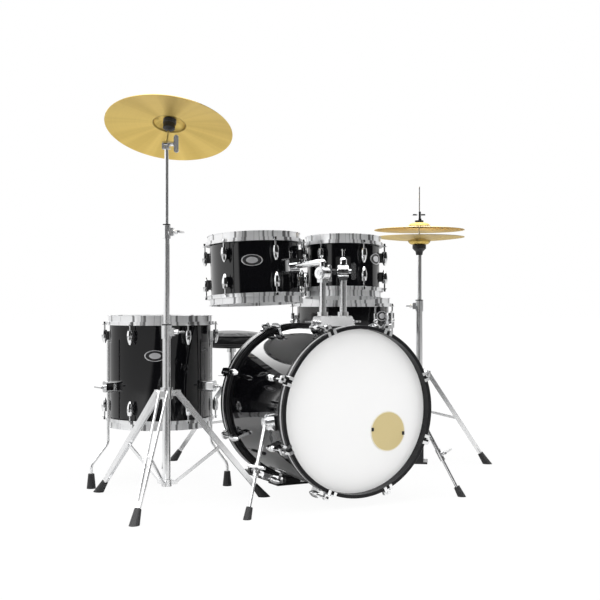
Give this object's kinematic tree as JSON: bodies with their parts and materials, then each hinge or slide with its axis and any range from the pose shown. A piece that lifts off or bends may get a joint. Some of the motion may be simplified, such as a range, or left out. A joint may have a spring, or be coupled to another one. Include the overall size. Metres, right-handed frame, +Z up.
{
  "type": "acoustic drum kit",
  "caption": "Acoustic drum kit: black bass drum with mounted toms, floor tom, snare, hi-hat, crash cymbal on chrome tripod stands, foot pedals and a round throne.",
  "frame": {"origin": "on the floor below the middle of the kit's bounding box", "axes": "+Z up, -Y towards the audience (the bass drum's front head), +X to the hi-hat side"},
  "size_m": [1.6311, 1.213, 1.2613],
  "materials": {
    "black_wrap": "high gloss black shell wrap",
    "head_film": "smooth white film",
    "hoop_black": "gloss black lacquered wood",
    "chrome": "polished chrome plate",
    "disc_tan": "satin tan plastic",
    "cymbal_brass": "lathed brass",
    "black_felt": "felt",
    "black_rubber": "moulded rubber",
    "black_metal": "black powder coat",
    "black_vinyl": "black vinyl",
    "steel_wire": "drawn steel wire"
  },
  "bodies": {
    "kit_base": {"bass_shell": "black_wrap", "bass_heads": "head_film", "bass_hoops": "hoop_black", "bass_lugs": "chrome", "bass_claws": "chrome", "bass_port_cover": "disc_tan", "bass_spur_brackets": "chrome", "tom_mount_base": "chrome", "floor_tom_legs": "chrome", "crash_stand_base": "chrome", "crash_stand_legs": "chrome", "hihat_stand_base": "chrome", "hihat_pedal_frame": "black_metal", "snare_stand_base": "chrome", "throne_base": "chrome", "rubber_feet": "black_rubber", "pedal_frame": "chrome"},
    "floor_tom": {"floor_tom_shell": "black_wrap", "floor_tom_heads": "head_film", "floor_tom_hoops": "chrome", "floor_tom_lugs": "chrome", "floor_tom_leg_brackets": "chrome"},
    "large_tom_holder": {"large_tom_post": "chrome"},
    "large_tom": {"large_tom_arm": "chrome", "large_tom_shell": "black_wrap", "large_tom_heads": "head_film", "large_tom_hoops": "chrome", "large_tom_lugs": "chrome"},
    "small_tom_holder": {"small_tom_post": "chrome"},
    "small_tom": {"small_tom_arm": "chrome", "small_tom_shell": "black_wrap", "small_tom_heads": "head_film", "small_tom_hoops": "chrome", "small_tom_lugs": "chrome"},
    "snare_riser": {"snare_post": "chrome"},
    "snare": {"snare_basket": "chrome", "snare_shell": "black_wrap", "snare_heads": "head_film", "snare_hoops": "chrome", "snare_lugs": "chrome", "snare_wires": "steel_wire", "snare_strainer": "chrome"},
    "throw_off": {"strainer_lever": "chrome"},
    "hihat_riser": {"hihat_upper_tube": "chrome", "hihat_bottom_cymbal": "cymbal_brass"},
    "hihat_pull": {"hihat_pull_rod": "chrome"},
    "hihat_top": {"hihat_clutch": "chrome", "hihat_top_cymbal": "cymbal_brass"},
    "hihat_board": {"hihat_footboard": "chrome"},
    "crash_middle": {"crash_middle_tube": "chrome"},
    "crash_upper": {"crash_upper_tube": "chrome"},
    "crash_head": {"crash_tilter": "chrome", "crash_felts": "black_felt"},
    "crash_plate": {"crash_cymbal": "cymbal_brass"},
    "throne_riser": {"throne_post": "chrome"},
    "throne_top": {"throne_seat": "black_vinyl"},
    "pedal_board": {"pedal_footboard": "chrome"},
    "pedal_hammer": {"pedal_beater": "chrome"},
    "spur_left": {"bass_spur_left": "chrome"},
    "spur_right": {"bass_spur_right": "chrome"}
  },
  "joints": [
    {"name": "floor_tom_height", "type": "slide", "parent": "kit_base", "child": "floor_tom", "axis": [0, 0, 1], "range_m": [-0.04, 0.06]},
    {"name": "large_tom_height", "type": "slide", "parent": "kit_base", "child": "large_tom_holder", "axis": [0, 0, 1], "range_m": [0, 0.05]},
    {"name": "large_tom_tilt", "type": "hinge", "parent": "large_tom_holder", "child": "large_tom", "pos_m": [-0.133, -0.4215, 0.72723], "axis": [0.9434, 0.3316, 0], "range_deg": [-10, 5]},
    {"name": "small_tom_height", "type": "slide", "parent": "kit_base", "child": "small_tom_holder", "axis": [0, 0, 1], "range_m": [0, 0.05]},
    {"name": "small_tom_tilt", "type": "hinge", "parent": "small_tom_holder", "child": "small_tom", "pos_m": [-0.057, -0.4215, 0.73476], "axis": [0.8654, -0.501, 0], "range_deg": [-10, 5]},
    {"name": "snare_height", "type": "slide", "parent": "kit_base", "child": "snare_riser", "axis": [0, 0, 1], "range_m": [-0.04, 0.08]},
    {"name": "snare_tilt", "type": "hinge", "parent": "snare_riser", "child": "snare", "pos_m": [0.27, 0.1465, 0.42], "axis": [1, 0, 0], "range_deg": [-12, 12]},
    {"name": "throw_off_swing", "type": "hinge", "parent": "snare", "child": "throw_off", "pos_m": [0.39313, -0.0111, 0.5454], "axis": [0.6157, -0.788, 0], "range_deg": [0, 90]},
    {"name": "hihat_height", "type": "slide", "parent": "kit_base", "child": "hihat_riser", "axis": [0, 0, 1], "range_m": [-0.08, 0.06]},
    {"name": "hihat_press", "type": "hinge", "parent": "kit_base", "child": "hihat_board", "pos_m": [0.37518, 0.22766, 0.018], "axis": [0.585, 0.8111, 0], "range_deg": [0, 5.8]},
    {"name": "hihat_close", "type": "slide", "parent": "kit_base", "child": "hihat_pull", "axis": [0, 0, 1], "range_m": [-0.0262, 0], "stiffness_N_per_m": 700, "springref_m": 0.045},
    {"name": "clutch_slide", "type": "slide", "parent": "hihat_pull", "child": "hihat_top", "axis": [0, 0, 1], "range_m": [-0.08, 0.06]},
    {"name": "crash_lower_height", "type": "slide", "parent": "kit_base", "child": "crash_middle", "axis": [0, 0, 1], "range_m": [-0.2, 0.1]},
    {"name": "crash_upper_height", "type": "slide", "parent": "crash_middle", "child": "crash_upper", "axis": [0, 0, 1], "range_m": [-0.2, 0.1]},
    {"name": "crash_tilt", "type": "hinge", "parent": "crash_upper", "child": "crash_head", "pos_m": [-0.604, -0.2565, 1.132], "axis": [0.766, -0.6428, 0], "range_deg": [-15, 40]},
    {"name": "crash_spin", "type": "hinge", "parent": "crash_head", "child": "crash_plate", "pos_m": [-0.604, -0.2565, 1.132], "axis": [0.2304, 0.2745, 0.9336], "continuous": true},
    {"name": "throne_height", "type": "slide", "parent": "kit_base", "child": "throne_riser", "axis": [0, 0, 1], "range_m": [-0.05, 0.09]},
    {"name": "throne_spin", "type": "hinge", "parent": "throne_riser", "child": "throne_top", "pos_m": [-0.063, 0.4565, 0.46], "axis": [0, 0, 1], "continuous": true},
    {"name": "pedal_press", "type": "hinge", "parent": "kit_base", "child": "pedal_board", "pos_m": [-0.095, 0.1235, 0.018], "axis": [1, 0, 0], "range_deg": [0, 10]},
    {"name": "beater_swing", "type": "hinge", "parent": "kit_base", "child": "pedal_hammer", "pos_m": [-0.095, -0.0815, 0.196], "axis": [1, 0, 0], "range_deg": [0, 41], "stiffness_Nm_per_rad": 0.9, "springref_deg": -31.51},
    {"name": "spur_left_fold", "type": "hinge", "parent": "kit_base", "child": "spur_left", "pos_m": [-0.34777, -0.4995, 0.27], "axis": [-0.9951, 0, -0.0984], "range_deg": [0, 75]},
    {"name": "spur_right_fold", "type": "hinge", "parent": "kit_base", "child": "spur_right", "pos_m": [0.15777, -0.4995, 0.27], "axis": [0.9951, 0, -0.0984], "range_deg": [-75, 0]}
  ],
  "couplings": [
    {"joint": "beater_swing", "follows": "pedal_press", "ratio": 4.1},
    {"joint": "hihat_close", "follows": "hihat_press", "m_per_rad": -0.25882},
    {"joint": "clutch_slide", "follows": "hihat_height", "ratio": 1}
  ]
}
